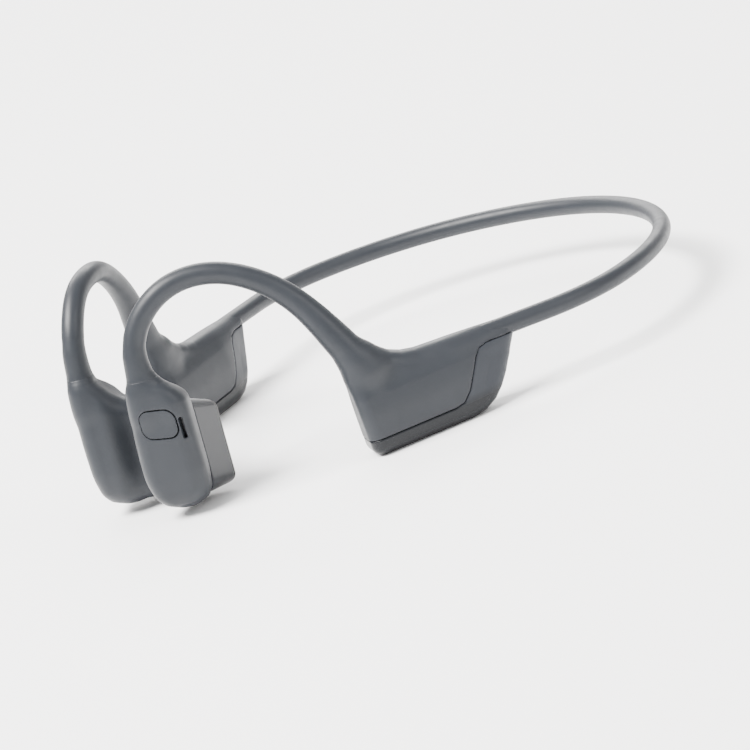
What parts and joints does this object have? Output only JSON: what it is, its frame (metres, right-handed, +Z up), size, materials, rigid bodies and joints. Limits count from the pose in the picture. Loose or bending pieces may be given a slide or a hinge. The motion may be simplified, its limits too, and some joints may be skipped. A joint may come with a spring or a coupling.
{
  "type": "bone conduction headphones",
  "caption": "Open-ear bone conduction headphones: sprung rear neckband, housings behind the ears, over-ear hooks and cheekbone transducer pods with push buttons.",
  "frame": {"origin": "on the surface the headphones stand on, under the middle of their bounding box", "axes": "+X towards the wearer's left, +Y towards the back of the neckband, +Z up"},
  "size_m": [0.1064, 0.1266, 0.0454],
  "materials": {
    "sleeve": "matt silicone",
    "cover": "matt silicone over a stiff core",
    "pod_skin": "matt silicone over a stiff core",
    "button": "matt silicone over a stiff core",
    "cap": "satin",
    "gloss_shell": "polished",
    "rim": "polished",
    "pad": "smooth matt",
    "spring_wire": "drawn nickel titanium wire",
    "cable": "insulated copper strands",
    "switch": "stamped",
    "board": "solder resist",
    "coil": "enamelled copper wire",
    "cell": "laminated pouch",
    "steel": "plated",
    "shield": "plated",
    "tongue": "moulded",
    "light": "clear moulded",
    "microphone": "plated can",
    "speaker": "plated can"
  },
  "bodies": {
    "band": {"rear_band_sleeve": "sleeve", "rear_band_wire": "spring_wire", "rear_band_cable": "cable"},
    "left_side": {"left_band_sleeve": "sleeve", "left_band_wire": "spring_wire", "left_band_cable": "cable", "left_hook_sleeve": "sleeve", "left_hook_wire": "spring_wire", "left_hook_cable": "cable", "left_housing_cover": "cover", "left_housing_cap": "cap", "left_pod_shell": "pod_skin", "left_pod_block": "gloss_shell", "left_pod_rim": "rim", "left_contact_pad": "pad", "left_transducer_yoke": "steel", "left_transducer_magnet": "steel", "left_transducer_coil": "coil", "left_transducer_spring": "steel", "left_air_speaker": "speaker", "left_microphone": "microphone", "battery_cell": "cell", "battery_board": "board", "multifunction_switch": "switch"},
    "right_side": {"right_band_sleeve": "sleeve", "right_band_wire": "spring_wire", "right_band_cable": "cable", "right_hook_sleeve": "sleeve", "right_hook_wire": "spring_wire", "right_hook_cable": "cable", "right_housing_cover": "cover", "right_housing_cap": "cap", "right_pod_shell": "pod_skin", "right_pod_block": "gloss_shell", "right_pod_rim": "rim", "right_contact_pad": "pad", "right_transducer_yoke": "steel", "right_transducer_magnet": "steel", "right_transducer_coil": "coil", "right_transducer_spring": "steel", "right_air_speaker": "speaker", "right_microphone": "microphone", "main_board": "board", "radio_shield": "shield", "port_shell": "shield", "port_tongue": "tongue", "charge_light": "light", "volume_up_switch": "switch", "volume_down_switch": "switch"},
    "multifunction_key": {"multifunction_button": "button"},
    "volume_up_key": {"volume_up_button": "button"},
    "volume_down_key": {"volume_down_button": "button"}
  },
  "joints": [
    {"name": "left_spread", "type": "hinge", "parent": "band", "child": "left_side", "pos_m": [0.03212, 0.05138, 0.01165], "axis": [0, 0, 1], "range_deg": [0, 32], "stiffness_Nm_per_rad": 0.16},
    {"name": "right_spread", "type": "hinge", "parent": "band", "child": "right_side", "pos_m": [-0.03212, 0.05138, 0.01165], "axis": [0, 0, 1], "range_deg": [-32, 0], "stiffness_Nm_per_rad": 0.16},
    {"name": "multifunction_press", "type": "slide", "parent": "left_side", "child": "multifunction_key", "axis": [-0.673, 0.736, -0.0732], "range_m": [0, 0.00035], "stiffness_N_per_m": 4000},
    {"name": "volume_up_press", "type": "slide", "parent": "right_side", "child": "volume_up_key", "axis": [0, 0, 1], "range_m": [0, 0.00035], "stiffness_N_per_m": 4000},
    {"name": "volume_down_press", "type": "slide", "parent": "right_side", "child": "volume_down_key", "axis": [0, 0, 1], "range_m": [0, 0.00035], "stiffness_N_per_m": 4000}
  ],
  "couplings": [
    {"joint": "right_spread", "follows": "left_spread", "ratio": -1}
  ]
}
